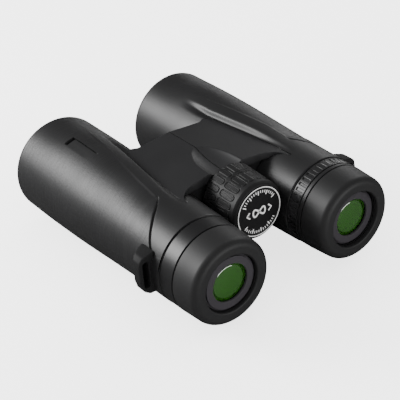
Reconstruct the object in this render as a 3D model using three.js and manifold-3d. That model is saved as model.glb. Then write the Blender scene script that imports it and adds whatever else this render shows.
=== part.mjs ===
// Roof-prism binoculars with 42 mm objectives, rubber armoured, with a centre hinge, a focus knob,
// twist-up eyecups and a dioptre ring. Millimetres, +Z up, +Y towards the view, +X to the user's
// right.
//
// Inside the model the stations along a barrel are counted from the eyecup faces (y = 0) to the
// objective rims, and z = 0 is the height of the two barrel axes. The group at the end moves that
// frame so that the origin lies under the middle of the object, on the surface it rests on.

import * as THREE from "three";
import { mergeVertices } from "three/addons/utils/BufferGeometryUtils.js";
import Module from "manifold-3d";

const wasm = await Module();
wasm.setup();

// Driving dimensions
const LENGTH = 150.2; // eyecup face to objective rim
const BARREL_X = 37.5; // half the spacing of the barrel axes, hinge fully open
const HINGE_Z = 9.17; // height of the hinge axis over the barrel axes
const BARREL_R = 26.6; // largest radius of the rubber armour
const GAP = 0.3; // clearance between neighbouring pieces
const RUBBER = 2.2; // thickness of the armour

// Round resolution: visible skins, bores that turn on a shaft, and inner pieces
const SKIN = 28;
const BORE = 24;
const INNER = 14;

// Stations of the barrel pieces
const ARMOUR_Y0 = 24.4;
const RING_Y0 = 15.2;
const EYECUP_Y1 = 14.7;
const CASTING_Y1 = 147.2;
const CUP_R = 22.2;
const OCULAR_R = 13.9;
const SLEEVE_R = 18.6;
const OBJECTIVE_R = 21;
const OBJECTIVE_RIM_R = [20.9, 22.2]; // the flat annulus at the front
const WALL_Y = 24; // rear wall of the casting, where its bore begins
const PRISM_Y = [36.8, 60.4];

// Eyecup: two pins on the key ring ride in straight slots of the guide sleeve
const EYECUP_TRAVEL = 7.5;
const KEY_PIN_R = 1;
const KEY_PIN_Y = 14.2;
const KEY_SLOT_Y = [KEY_PIN_Y - KEY_PIN_R - EYECUP_TRAVEL - 0.1, 15.6];

// Hinge: stations of each half's two knuckles, and the web between them
const KNUCKLE_R = 9.5;
const KNUCKLE_CLEAR_R = 10;
const PIN_R = 4;
const PIN_BORE_R = 4.3;
const WEB_Y = [50.5, 97];
const LEFT_KNUCKLES = [[50.5, 55.6], [88.9, 97]];
const RIGHT_KNUCKLES = [[56.8, 62], [80, 87.6]];

// Focus drive: the shuttle runs on the screw in the chamber between the knuckles
const SHUTTLE_Y = 71;
const FOCUS_TRAVEL = 3.5;
const SCREW_R = 2.5;
const SCREW_BORE_R = 2.8;
const KNOB_Y = [26, 49.2];
const KNOB_R = 16.2;
const KNOB_RELIEF_R = 17.1;

const LUG_X = 66.4; // how far the strap lugs reach from the centre plane

// Bridge cover
const DECK_UNDER = 19.3;
const DECK_TOP = 24.6;
const DECK_FALL = 0.085; // the deck drops this much per millimetre from the centre seam

const RUBBER_BLACK = new THREE.MeshStandardMaterial({ color: 0x1d1d1e, roughness: 0.75 });
const PLASTIC_BLACK = new THREE.MeshStandardMaterial({ color: 0x141415, roughness: 0.45 });
const GLOSS_BLACK = new THREE.MeshStandardMaterial({ color: 0x0d0d0e, roughness: 0.18 });
const ALLOY = new THREE.MeshStandardMaterial({ color: 0x3a3b3d, roughness: 0.5, metalness: 0.8 });
const STEEL = new THREE.MeshStandardMaterial({ color: 0xb8babd, roughness: 0.3, metalness: 1 });
const BRASS = new THREE.MeshStandardMaterial({ color: 0xb08d45, roughness: 0.35, metalness: 1 });
const GLASS = new THREE.MeshStandardMaterial({ color: 0xdfe8e4, roughness: 0.05 });
const GREEN_GLASS = new THREE.MeshStandardMaterial({ color: 0x2f7a1c, roughness: 0.05 });

// Solids and meshes

function solidOf(geometry) {
  const bare = geometry.index ? geometry.clone() : mergeVertices(geometry);
  bare.deleteAttribute("normal");
  bare.deleteAttribute("uv");
  const merged = mergeVertices(bare, 1e-4);
  return new wasm.Manifold(
    new wasm.Mesh({
      numProp: 3,
      vertProperties: merged.attributes.position.array,
      triVerts: new Uint32Array(merged.index.array),
    }),
  );
}

function join(...solids) {
  return solids.reduce((whole, next) => whole.add(next));
}

function cut(body, ...tools) {
  return tools.reduce((rest, tool) => rest.subtract(tool), body);
}

function piece(name, solid, material) {
  const cutMesh = solid.getMesh();
  const geometry = new THREE.BufferGeometry();
  geometry.setAttribute("position", new THREE.BufferAttribute(cutMesh.vertProperties, 3));
  geometry.setIndex(new THREE.BufferAttribute(cutMesh.triVerts, 1));
  geometry.computeVertexNormals();
  const mesh = new THREE.Mesh(geometry, material);
  mesh.name = name;
  return mesh;
}

// A closed profile of [radius, station] points turned about the barrel axis
function turnedGeometry(profile, segments) {
  const points = profile.map(([r, y]) => new THREE.Vector2(r, y));
  const closed = [...points, points[0]];
  const area = THREE.ShapeUtils.area(points);
  if (area < 0) closed.reverse();
  return new THREE.LatheGeometry(closed, segments);
}

function turned(profile, segments = INNER) {
  return solidOf(turnedGeometry(profile, segments));
}

// A ring of rectangular section between two radii and two stations
function ring(inner, outer, y0, y1, segments = INNER) {
  return turned([[inner, y0], [outer, y0], [outer, y1], [inner, y1]], segments);
}

function rod(radius, y0, y1, segments = INNER) {
  const geometry = new THREE.CylinderGeometry(radius, radius, y1 - y0, segments);
  return solidOf(geometry.translate(0, (y0 + y1) / 2, 0));
}

function block(x0, x1, y0, y1, z0, z1) {
  const geometry = new THREE.BoxGeometry(x1 - x0, y1 - y0, z1 - z0);
  return solidOf(geometry.translate((x0 + x1) / 2, (y0 + y1) / 2, (z0 + z1) / 2));
}

function outline(points) {
  return new THREE.Shape(points.map(([a, b]) => new THREE.Vector2(a, b)));
}

// A section drawn in the x-z plane and carried along the barrel from y0 to y1
function alongBarrel(shape, y0, y1) {
  const geometry = new THREE.ExtrudeGeometry(shape, { depth: y1 - y0, bevelEnabled: false });
  return solidOf(geometry.rotateX(Math.PI / 2).translate(0, y1, 0));
}

// A plan drawn in the x-y plane and raised from z0 to z1
function upright(shape, z0, z1) {
  const geometry = new THREE.ExtrudeGeometry(shape, { depth: z1 - z0, bevelEnabled: false });
  return solidOf(geometry.translate(0, 0, z0));
}

// In a barrel's own frame +X points outboard, so the hinge axis is at x = -BARREL_X
function atHinge(solid) {
  return solid.translate([-BARREL_X, 0, HINGE_Z]);
}

// Armour skin: a slim waist at the eyepiece, the full radius near the objective

const WAIST = new THREE.SplineCurve(
  [[22.7, 25.2], [23.1, 40], [24.1, 62], [26.2, 105], [BARREL_R, 146]].map(
    ([r, y]) => new THREE.Vector2(r, y),
  ),
);

function skinPoints(growth, steps) {
  return WAIST.getPoints(steps).map((p) => [p.x + growth, p.y]);
}

// The rim rounds over a quarter ellipse into the flat annulus at the front
function rimPoints(steps) {
  const flatR = OBJECTIVE_RIM_R[1];
  const start = 146.8;
  return Array.from({ length: steps }, (_, i) => {
    const turn = ((i + 1) / steps) * (Math.PI / 2);
    const r = flatR + (BARREL_R - flatR) * Math.cos(turn);
    return [r, start + (LENGTH - start) * Math.sin(turn)];
  });
}

const CASTING_R0 = 20.2;

function armourOuter() {
  return [[22.35, ARMOUR_Y0], ...skinPoints(0, 6), ...rimPoints(3)];
}

// The armour swells a little along its upper edge, where it meets the bridge
function addShoulder(geometry) {
  const swell = 1.2;
  const spread = 0.5;
  const place = geometry.attributes.position;
  for (let i = 0; i < place.count; i += 1) {
    const [x, y, z] = [place.getX(i), place.getY(i), place.getZ(i)];
    const r = Math.hypot(x, z);
    const along = THREE.MathUtils.smoothstep(y, 46, 68) - THREE.MathUtils.smoothstep(y, 112, 140);
    const fromTop = Math.atan2(x, z) / spread;
    const lift = r > 21.5 ? swell * along * Math.exp(-fromTop * fromTop) : 0;
    place.setXYZ(i, (x * (r + lift)) / r, y, (z * (r + lift)) / r);
  }
  return geometry;
}

// Web between barrel and hinge, as an x-z section in the barrel's frame
function webSection(growth = 0) {
  return outline([
    [1 - BARREL_X - growth, 18.55 + growth],
    [-9, 18.9 + growth],
    [-4, 10],
    [-4, -3 - growth],
    [-17.5, -2.6 - growth],
    [4.75 - BARREL_X - growth, 0.94 - growth],
  ]);
}

// Straight bar from the hinge towards the barrel axis, between two distances from the barrel axis
function hingewardBar(from, to, y0, y1, thickness) {
  const bar = new THREE.BoxGeometry(to - from, y1 - y0, thickness);
  bar.translate(-(from + to) / 2, (y0 + y1) / 2, 0);
  return solidOf(bar.rotateY(Math.atan2(HINGE_Z, BARREL_X)));
}

const HINGE_DISTANCE = Math.hypot(BARREL_X, HINGE_Z);

function castingOuter(growth = 0) {
  const skin = skinPoints(-RUBBER - GAP + growth, 3);
  const rear = [[0, ARMOUR_Y0], [CASTING_R0 + growth, ARMOUR_Y0]];
  return turned([...rear, ...skin, [24.1 + growth, CASTING_Y1], [0, CASTING_Y1]], BORE);
}

function bodyCasting(knuckles) {
  const clearance = atHinge(rod(KNUCKLE_CLEAR_R, WEB_Y[0] - 2, WEB_Y[1] + 2, 24));
  const web = cut(alongBarrel(webSection(), WEB_Y[0], WEB_Y[1]), clearance);
  const ears = knuckles.map(([y0, y1]) =>
    join(alongBarrel(webSection(), y0, y1), atHinge(rod(KNUCKLE_R, y0, y1, 24))),
  );
  const bore = turned(
    [[0, WALL_Y], [18.4, WALL_Y], [18.6, 36], [19.6, 62], [21.2, 105], [20, 130.8], [20, 132.6],
      [21.6, 132.6], [21.6, 148], [0, 148]],
    BORE,
  );
  const pinBore = atHinge(rod(PIN_BORE_R, WEB_Y[0] - 2, WEB_Y[1] + 2));
  const half = FOCUS_TRAVEL + 3.2;
  const slot = hingewardBar(15, HINGE_DISTANCE - 9, SHUTTLE_Y - half, SHUTTLE_Y + half, 5);
  return cut(join(castingOuter(), web, ...ears), bore, pinBore, slot);
}

function lugFoot(growth = 0) {
  return block(20.9 - growth, 24.5, 32 - growth, 37 + growth, -4 - growth, 4 + growth);
}

function armour() {
  const inner = [...skinPoints(-RUBBER, 3)].reverse();
  const profile = [
    ...armourOuter(),
    [OBJECTIVE_RIM_R[0], LENGTH],
    [OBJECTIVE_RIM_R[0], CASTING_Y1 + GAP],
    [24.4, CASTING_Y1 + GAP],
    ...inner,
    [CASTING_R0 + GAP, ARMOUR_Y0],
  ];
  const sleeve = solidOf(addShoulder(turnedGeometry(profile, SKIN)));
  const window = alongBarrel(webSection(0.35), WEB_Y[0] - 0.4, WEB_Y[1] + 0.4);
  const knobRelief = atHinge(rod(KNOB_RELIEF_R, 20, WEB_Y[0] + 0.2, 24));
  const deckPocket = upright(deckPlan(GAP), DECK_UNDER - GAP, 40);
  return cut(sleeve, window, knobRelief, deckPocket, lugFoot(GAP));
}

// Plan of one bridge cover: the seam, the front edge, the crease at the armour, and the tail
function deckPlan(growth = 0) {
  const x = (fromSeam) => fromSeam - BARREL_X;
  const shape = new THREE.Shape();
  shape.moveTo(x(GAP), 49.9 - growth);
  shape.lineTo(x(GAP), 96.6 + growth);
  shape.lineTo(x(22.8), 96.8 + growth);
  shape.lineTo(x(25.6 + growth), 99 + growth);
  shape.lineTo(x(26.7 + growth), 95.5);
  shape.quadraticCurveTo(x(28.2 + growth), 79, x(31.3 + growth), 55);
  shape.lineTo(x(31.8 + growth), 39 - growth);
  shape.lineTo(x(31 - growth), 39 - growth);
  shape.quadraticCurveTo(x(28 - growth), 48.2 - growth, x(19), 48.9 - growth);
  shape.lineTo(x(10), 49.6 - growth);
  return shape;
}

// Bridge cover: a slab that falls away from the seam, with half of the finger scoop in front of
// the knob
function bridgeCover() {
  const x = (fromSeam) => fromSeam - BARREL_X;
  const section = outline([
    [x(0), DECK_UNDER],
    [x(34), DECK_UNDER],
    [x(34), DECK_TOP - DECK_FALL * 34],
    [x(0), DECK_TOP],
  ]);
  const slab = upright(deckPlan(), DECK_UNDER, 26).intersect(alongBarrel(section, 36, 102));
  const scoop = solidOf(new THREE.SphereGeometry(1, 32, 24).scale(13.2, 27.6, 10));
  const placedScoop = scoop.translate([x(0), 52, DECK_TOP + 5.9]);
  const knobRoom = atHinge(rod(KNOB_RELIEF_R, 20, 49.8, 24));
  return cut(slab, placedScoop, castingOuter(GAP), knobRoom);
}

// Strap lug: a chamfered loop on the outboard side whose foot passes through the armour
function strapLug() {
  const x = (fromCentre) => fromCentre - BARREL_X;
  const plan = outline([
    [x(56), 30.2], [x(65.7), 30.2], [x(LUG_X), 30.9], [x(LUG_X), 35.2], [x(58), 39.4], [x(56), 39.4],
  ]);
  const front = outline([
    [x(56), -9.8], [x(61.6), -9.6], [x(64.6), -7.4], [x(LUG_X), -1.8], [x(LUG_X), 5.4], [x(65.8), 8.8],
    [x(63.8), 10.8], [x(60.4), 11.6], [x(56), 12.1],
  ]);
  const body = upright(plan, -10, 13).intersect(alongBarrel(front, 29, 42));
  const barrel = turned([[0, 28], [23 + GAP, 28], [23.2 + GAP, 43], [0, 43]], SKIN);
  const slot = block(x(61.2), x(64.3), 28, 43, -5.8, 8.2);
  return join(cut(body, barrel, slot), lugFoot());
}

// Optics

function lens(radius, rearApex, rearEdge, frontEdge, frontApex, segments = INNER) {
  const steps = 2;
  const cap = (apex, edge) =>
    Array.from({ length: steps + 1 }, (_, i) => {
      const share = i / steps;
      return [radius * share, apex + (edge - apex) * share * share];
    });
  return turned([...cap(rearApex, rearEdge), ...cap(frontApex, frontEdge).reverse()], segments);
}

function focusCell() {
  const cell = ring(13.5, 18.6, SHUTTLE_Y - 3, SHUTTLE_Y + 3);
  const arm = hingewardBar(17, HINGE_DISTANCE - 8.4, SHUTTLE_Y - 2.5, SHUTTLE_Y + 2.5, 4);
  const spread = THREE.MathUtils.degToRad(42);
  const towardsBarrel = -Math.atan2(HINGE_Z, BARREL_X);
  const fork = new THREE.Shape();
  fork.absarc(0, 0, 9.2, towardsBarrel - spread, towardsBarrel + spread, false);
  fork.absarc(0, 0, 5.3, towardsBarrel + spread, towardsBarrel - spread, true);
  const forkSolid = alongBarrel(fork, SHUTTLE_Y - 1.2, SHUTTLE_Y + 1.2);
  return join(cell, arm, atHinge(forkSolid));
}

const PRISM_HALF = 9.2;

// The half-penta prism has its entrance face forward and hands the light across a 45 degree gap
function halfPentaPrism() {
  const side = new THREE.Shape(
    [[-10.6, 38.6], [9.6, 58.8], [-6, 58.8], [-10.6, 54]].map(([z, y]) => new THREE.Vector2(z, y)),
  );
  return prismFromSide(side);
}

function roofPrism() {
  const side = new THREE.Shape(
    [[-9.2, 38], [12.8, 38], [12.8, 56], [10, 57.2]].map(([z, y]) => new THREE.Vector2(z, y)),
  );
  const roof = outline([[-10, -12], [10, -12], [10, 5], [0, 12.6], [-10, 5]]);
  return prismFromSide(side).intersect(alongBarrel(roof, 36, 60));
}

// A prism drawn from the side as [height, station] points and carried across the barrel
function prismFromSide(side) {
  const depth = 2 * PRISM_HALF;
  const geometry = new THREE.ExtrudeGeometry(side, { depth, bevelEnabled: false });
  const matrix = new THREE.Matrix4().makeBasis(
    new THREE.Vector3(0, 0, 1),
    new THREE.Vector3(0, 1, 0),
    new THREE.Vector3(-1, 0, 0),
  );
  return solidOf(geometry.applyMatrix4(matrix).translate(PRISM_HALF, 0, 0));
}

function prismCage() {
  const [y0, y1] = PRISM_Y;
  const half = PRISM_HALF + GAP;
  return cut(rod(17.6, y0, y1), block(-half, half, y0 - 1, y1 + 1, -11.2, 13.2));
}

// Eyepiece: housing with the guide sleeve, the ocular cell, and the twist-up eyecup

function ocularHousing() {
  const body = turned(
    [[14.3, 17.5], [17, 17.5], [17, 5], [SLEEVE_R, 5], [SLEEVE_R, ARMOUR_Y0 - 0.3],
      [18.1, ARMOUR_Y0 - 0.3], [18.1, 32], [14.3, 32]],
    BORE,
  );
  const halfSlot = KEY_PIN_R + 0.4;
  const guideSlots = block(-20, 20, ...KEY_SLOT_Y, -halfSlot, halfSlot);
  const keepInside = rod(16.8, 5, 16, BORE);
  return cut(body, cut(guideSlots, keepInside));
}

function ocularCell(recess) {
  return ring(12, OCULAR_R, recess + 1.3, 34);
}

function eyepieceRing(recess) {
  return turned(
    [[9.6, recess + 0.3], [9.9, recess], [OCULAR_R, recess], [OCULAR_R, recess + 1], [9.6, recess + 1]],
    BORE,
  );
}

function eyecupKeyRing() {
  const tips = SLEEVE_R - 0.2;
  const pins = new THREE.CylinderGeometry(KEY_PIN_R, KEY_PIN_R, 2 * tips, 8);
  const pair = solidOf(pins.rotateZ(Math.PI / 2).translate(0, KEY_PIN_Y, 0));
  return join(ring(14.4, 16.7, 8, 15.2), cut(pair, rod(15, 10, 18)));
}

function eyecupCore() {
  return turned(
    [[14.4, 2.9], [20.2, 2.9], [20.2, 14.4], [18.95, 14.4], [18.95, 4.4], [14.4, 4.4]],
    BORE,
  );
}

function eyecupRubber() {
  return turned(
    [[14.3, 0], [17.2, 0], [19.5, 0.6], [20.9, 1.7], [21.4, 3.4], [CUP_R, EYECUP_Y1],
      [20.5, EYECUP_Y1], [20.5, 2.6], [14.3, 2.6]],
    SKIN,
  );
}

function fixedRing() {
  return turned(
    [[18.9, RING_Y0], [21.9, RING_Y0], [22.3, RING_Y0 + 0.5], [22.35, 23.5], [21.9, 24], [18.9, 24]],
    SKIN,
  );
}

// Dioptre ring: groups of short ribs round its edge, with plain arcs between the groups
function dioptreRing() {
  const teeth = 48;
  const base = 21.7;
  const points = Array.from({ length: teeth * 2 }, (_, i) => {
    const tooth = Math.floor(i / 2);
    const raised = tooth % 2 === 0 && tooth % 12 < 8;
    const turn = (i * Math.PI) / teeth;
    const r = raised ? 22.3 : base;
    return [r * Math.cos(turn), r * Math.sin(turn)];
  });
  const shape = outline(points);
  shape.holes.push(new THREE.Path().absarc(0, 0, 18.95, 0, 2 * Math.PI, true));
  const geometry = new THREE.ExtrudeGeometry(shape, {
    depth: 24 - 17.6,
    bevelEnabled: false,
    curveSegments: SKIN,
  });
  return solidOf(geometry.rotateX(Math.PI / 2).translate(0, 24, 0));
}

// One half of the binoculars in its barrel's own frame

function barrelGroup(side, { knuckles, recess }) {
  const group = new THREE.Group();
  const add = (name, solid, material) => group.add(piece(`${side}_${name}`, solid, material));
  add("body_casting", bodyCasting(knuckles), PLASTIC_BLACK);
  add("armour", armour(), RUBBER_BLACK);
  add("bridge_cover", bridgeCover(), RUBBER_BLACK);
  add("strap_lug", strapLug(), PLASTIC_BLACK);
  add("objective_crown_lens", lens(OBJECTIVE_R, 138.6, 137.4, 141.6, 143.6, BORE), GREEN_GLASS);
  add("objective_flint_lens", lens(OBJECTIVE_R, 134.6, 133.4, 137, 138.2, BORE), GLASS);
  add("objective_ring", ring(19.4, 21.2, 142.2, 145.4, BORE), PLASTIC_BLACK);
  add("focus_cell", focusCell(), ALLOY);
  add("focusing_lens", lens(13.1, 70.6, 69.2, 72.4, 72), GLASS);
  add("prism_cage", prismCage(), ALLOY);
  add("roof_prism", roofPrism(), GLASS);
  add("half_penta_prism", halfPentaPrism(), GLASS);
  add("ocular_housing", ocularHousing(), PLASTIC_BLACK);
  add("ocular_cell", ocularCell(recess), ALLOY);
  add("field_lens", lens(11.4, 24.6, 26, 28, 29.6), GLASS);
  add("eye_lens", lens(11.4, recess + 0.5, recess + 1.7, recess + 5, recess + 4.6), GREEN_GLASS);
  add("eyepiece_ring", eyepieceRing(recess), PLASTIC_BLACK);
  add("eyecup_key_ring", eyecupKeyRing(), ALLOY);
  add("eyecup_core", eyecupCore(), PLASTIC_BLACK);
  add("eyecup_rubber", eyecupRubber(), RUBBER_BLACK);
  return group;
}

const left = barrelGroup("left", { knuckles: LEFT_KNUCKLES, recess: 1.6 });
left.add(piece("left_fixed_ring", fixedRing(), GLOSS_BLACK));
left.position.x = -BARREL_X;
left.scale.x = -1; // the barrel frame's outboard direction is -X on this side

const right = barrelGroup("right", { knuckles: RIGHT_KNUCKLES, recess: 2.8 });
right.add(piece("right_dioptre_ring", dioptreRing(), RUBBER_BLACK));
right.add(piece("right_spacer_ring", ring(18.9, 22.2, RING_Y0 - 0.1, 17.2, SKIN), PLASTIC_BLACK));
right.position.x = BARREL_X;

// Hinge and focus drive, in a frame on the hinge axis

function knobCore() {
  return turned(
    [[0, 27.6], [12.6, 27.6], [13.4, 30], [14.2, 48.8], [12, 48.8], [12, 36], [5, 36],
      [5, 48.8], [SCREW_BORE_R, 48.8], [SCREW_BORE_R, 34], [0, 34]],
    24,
  );
}

function knobGrip() {
  const [rear, front] = KNOB_Y;
  return turned(
    [[13.6, rear + 0.4], [14.2, rear + 0.7], [15, rear + 2], [15.6, 36], [KNOB_R, front - 1],
      [KNOB_R - 0.7, front], [14.5, front], [13.7, 30], [13, rear + 1.8]],
    SKIN,
  );
}

function knobFace() {
  return turned([[0, 26.2], [12, 26.2], [12.2, KNOB_Y[0]], [13.1, KNOB_Y[0]], [13.3, 26.3],
    [12.6, 27.3], [0, 27.3]], BORE);
}

function focusShuttle() {
  const y = SHUTTLE_Y;
  return turned([[SCREW_BORE_R, y - 3.5], [7.5, y - 3.5], [7.5, y - 1.6], [4.8, y - 1.6],
    [4.8, y + 1.6], [7.5, y + 1.6], [7.5, y + 3.5], [SCREW_BORE_R, y + 3.5]]);
}

function tripodBush() {
  return turned([[3.2, 92.6], [3.2, 101], [8.5, 101], [9, 100.4], [9, 97.3], [4, 97.3], [4, 91.6],
    [0, 91.6], [0, 92.6]], 20);
}

function tripodCap() {
  return turned([[0, 94], [2.8, 94], [2.8, 101.3], [5.4, 101.3], [5.4, 103.2], [4.8, 103.8],
    [0, 103.8]]);
}

const hinge = new THREE.Group();
hinge.position.z = HINGE_Z;
hinge.add(
  piece("knob_core", knobCore(), ALLOY),
  piece("knob_grip", knobGrip(), RUBBER_BLACK),
  piece("knob_face", knobFace(), PLASTIC_BLACK),
  piece("focus_screw", rod(SCREW_R, 34.4, 78.6, 12), BRASS),
  piece("focus_shuttle", focusShuttle(), BRASS),
  piece("rear_hinge_sleeve", ring(SCREW_BORE_R, PIN_R, 50.2, 62.2), STEEL),
  piece("front_hinge_pin", rod(PIN_R, 80.2, 91.2), STEEL),
  piece("front_washer", ring(PIN_BORE_R, 9.2, 87.95, 88.55), STEEL),
  piece("rear_washer", ring(PIN_BORE_R, 9.2, 55.9, 56.5), STEEL),
  piece("tripod_bush", tripodBush(), ALLOY),
  piece("tripod_cap", tripodCap(), PLASTIC_BLACK),
);

const model = new THREE.Group();
model.add(left, right, hinge);
model.position.set(0, -LENGTH / 2, BARREL_R);

const group = new THREE.Group();
group.add(model);

export default group;
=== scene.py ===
# %% [markdown]
# # Rubber-armoured binoculars
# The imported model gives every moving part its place. This notebook dresses it: each visible piece
# is a surface worked out with numpy on a grid, and each finish is a procedural material.
# Lengths inside the notebook are millimetres in the "station frame" of the object: y counts from
# the eyecup faces towards the objectives, z from the height of the barrel axes, x from the centre.

import math

import bmesh
import bpy
import numpy as np
from mathutils import Matrix, Vector


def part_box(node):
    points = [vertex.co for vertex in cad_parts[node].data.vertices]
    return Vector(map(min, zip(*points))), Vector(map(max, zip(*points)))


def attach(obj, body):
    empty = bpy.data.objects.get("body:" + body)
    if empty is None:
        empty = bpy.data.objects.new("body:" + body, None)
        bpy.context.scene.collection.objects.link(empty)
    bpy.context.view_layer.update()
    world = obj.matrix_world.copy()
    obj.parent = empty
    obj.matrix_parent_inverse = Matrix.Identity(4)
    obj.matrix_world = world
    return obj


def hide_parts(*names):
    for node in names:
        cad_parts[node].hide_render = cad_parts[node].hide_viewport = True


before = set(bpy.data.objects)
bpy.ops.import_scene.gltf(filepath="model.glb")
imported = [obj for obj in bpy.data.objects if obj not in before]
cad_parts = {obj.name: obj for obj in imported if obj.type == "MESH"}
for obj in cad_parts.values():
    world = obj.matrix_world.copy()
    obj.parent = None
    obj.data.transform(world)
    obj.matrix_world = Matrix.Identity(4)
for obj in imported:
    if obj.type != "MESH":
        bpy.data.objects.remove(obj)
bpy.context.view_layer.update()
MM = 0.001

# %% [markdown]
# The frame is measured rather than guessed: the eyecup gives station zero and the height of the
# barrel axis, the hinge pin gives the hinge axis, and the eyepiece tubes give the barrel spacing.

# %% Places from the frame
def centre_of(node):
    """Middle of a CAD node's box, in metres."""
    low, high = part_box(node)
    return (low + high) / 2


EYE_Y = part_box("left_eyecup_rubber")[0].y
AXIS_Z = centre_of("left_eyecup_rubber").z
BARREL_X = centre_of("right_ocular_cell").x / MM
HINGE_Z = (centre_of("front_hinge_pin").z - AXIS_Z) / MM
LENGTH = (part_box("left_armour")[1].y - EYE_Y) / MM
print("barrel spacing", round(2 * BARREL_X, 2), "hinge height", round(HINGE_Z, 2), "length", LENGTH)

# %% [markdown]
# The camera looks down from behind the left eyepiece. It is set by its azimuth, elevation and
# roll about a target near the middle of the barrels, with a long lens.

# %% Camera
VIEW_AZIMUTH = math.radians(-34.536)
VIEW_ELEVATION = math.radians(31.938)
VIEW_ROLL = math.radians(-4.937)
VIEW_DISTANCE = 534.8
VIEW_TARGET = (0.684, 75.08, -6.969)
LENS = 94.295


def to_row(points):
    """Station millimetres to metres in the CAD frame: scale by 0.001 and shift by the axis height
    and the eyecup station."""
    return np.asarray(points, float) * MM + np.array([0.0, EYE_Y, AXIS_Z])


def camera_axes(azimuth, elevation, roll):
    """Right, up and back unit vectors: back points from the target to the eye, right is level,
    and both right and up are then turned by the roll about back."""
    back = Vector((math.sin(azimuth) * math.cos(elevation),
                   -math.cos(azimuth) * math.cos(elevation), math.sin(elevation)))
    level = Vector((math.cos(azimuth), math.sin(azimuth), 0.0))
    up = back.cross(level)
    right = level * math.cos(roll) + up * math.sin(roll)
    return right, up * math.cos(roll) - level * math.sin(roll), back


right_axis, up_axis, back_axis = camera_axes(VIEW_AZIMUTH, VIEW_ELEVATION, VIEW_ROLL)
eye = Vector(to_row(VIEW_TARGET)) + back_axis * VIEW_DISTANCE * MM
camera_data = bpy.data.cameras.new("studio_camera")
camera_data.lens = LENS
camera_data.sensor_width = 36
camera_data.clip_start = 0.01
camera = bpy.data.objects.new("studio_camera", camera_data)
turn = Matrix((right_axis, up_axis, back_axis)).transposed().to_4x4()
camera.matrix_world = Matrix.Translation(eye) @ turn
bpy.context.scene.collection.objects.link(camera)
bpy.context.scene.camera = camera
print("camera at", [round(v, 3) for v in eye])

# %% [markdown]
# Plain studio: a pale floor that runs off to the horizon, an even surround, and four soft boxes. A
# large one, high and far on the left, draws the highlight along the barrels, and a weak one stands
# high on the right. Of the two low ones, the first faces the eyecups and lights them and the knob's
# disc, and the second stands beyond the objectives and draws a thin line along the right edges.

# %% Studio
def area_light(name, where, aim, width, height, power):
    """A rectangular soft box at where, its face turned to aim, both in station millimetres."""
    data = bpy.data.lights.new(name, "AREA")
    data.shape = "RECTANGLE"
    data.size = width * MM
    data.size_y = height * MM
    data.energy = power
    light = bpy.data.objects.new(name, data)
    place = Vector(to_row(where))
    direction = Vector(to_row(aim)) - place
    light.matrix_world = Matrix.Translation(place) @ direction.to_track_quat("-Z", "Y").to_matrix().to_4x4()
    bpy.context.scene.collection.objects.link(light)
    print(name, power, "W")


area_light("left_soft_box", (-536, 629, 410), (-30, 75, 0), 460, 360, 9.5)
area_light("right_soft_box", (640, 360, 330), (0, 80, 0), 300, 260, 0.9)
area_light("low_eye_side_box", (100, -430, 22), (0, 0, 0), 420, 84, 0.7)
area_light("low_view_side_box", (520, 640, -4), (-20, 110, 10), 520, 90, 0.3)


def studio_world(around, mirrored):
    """An even pale surround for the eye and for soft fill, but a dark one for reflections, the way
    black flags stand round a black product: strength = around, or mirrored on a glossy ray."""
    world = bpy.data.worlds.new("studio")
    bpy.context.scene.world = world
    world.use_nodes = True
    tree = world.node_tree
    path = tree.nodes.new("ShaderNodeLightPath")
    strength = tree.nodes.new("ShaderNodeMapRange")
    strength.inputs["To Min"].default_value = around
    strength.inputs["To Max"].default_value = mirrored
    tree.links.new(path.outputs["Is Glossy Ray"], strength.inputs["Value"])
    tree.nodes["Background"].inputs["Color"].default_value = (1, 1, 1, 1)
    tree.links.new(strength.outputs["Result"], tree.nodes["Background"].inputs["Strength"])


studio_world(1.35, 0.10)

# %% [markdown]
# Shared mesh tools. A piece is a grid of points whose neighbours are joined by quads. Where a
# grid closes on itself its last row meets its first. Doubles at poles are merged, and the faces
# of the closed shell are then turned outwards.

# %% Mesh tools
def grid_faces(rows, cols, wrap_rows, wrap_cols):
    """Quad corner indices of a rows by cols grid: each cell joins point (i, j) to its next
    neighbours, modulo the count where the grid wraps."""
    i = np.arange(rows if wrap_rows else rows - 1)
    j = np.arange(cols if wrap_cols else cols - 1)
    a, b = np.meshgrid(i, j, indexing="ij")
    a2, b2 = (a + 1) % rows, (b + 1) % cols
    quads = np.stack([a * cols + b, a * cols + b2, a2 * cols + b2, a2 * cols + b], -1)
    return quads.reshape(-1, 4)


def finish_shell(mesh, sharp_degrees=None):
    """Merges doubles, drops what has no area and turns the closed shell's faces outwards."""
    shell = bmesh.new()
    shell.from_mesh(mesh)
    bmesh.ops.remove_doubles(shell, verts=shell.verts, dist=1e-7)
    bmesh.ops.dissolve_degenerate(shell, edges=shell.edges, dist=1e-8)
    bmesh.ops.recalc_face_normals(shell, faces=shell.faces)
    shell.to_mesh(mesh)
    shell.free()
    mesh.shade_smooth()
    if sharp_degrees:
        mesh.set_sharp_from_angle(angle=math.radians(sharp_degrees))


def mesh_from(name, points, faces, attributes=None):
    """A mesh from station-frame points and quads, with optional point attributes."""
    mesh = bpy.data.meshes.new(name)
    mesh.vertices.add(len(points))
    mesh.vertices.foreach_set("co", to_row(points).astype(np.float32).ravel())
    mesh.loops.add(faces.size)
    mesh.loops.foreach_set("vertex_index", faces.astype(np.int32).ravel())
    mesh.polygons.add(len(faces))
    mesh.polygons.foreach_set("loop_start", np.arange(0, faces.size, 4, dtype=np.int32))
    for key, values in (attributes or {}).items():
        layer = mesh.attributes.new(key, "FLOAT", "POINT")
        layer.data.foreach_set("value", np.asarray(values, np.float32).ravel())
    mesh.update(calc_edges=True)
    return mesh


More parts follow.
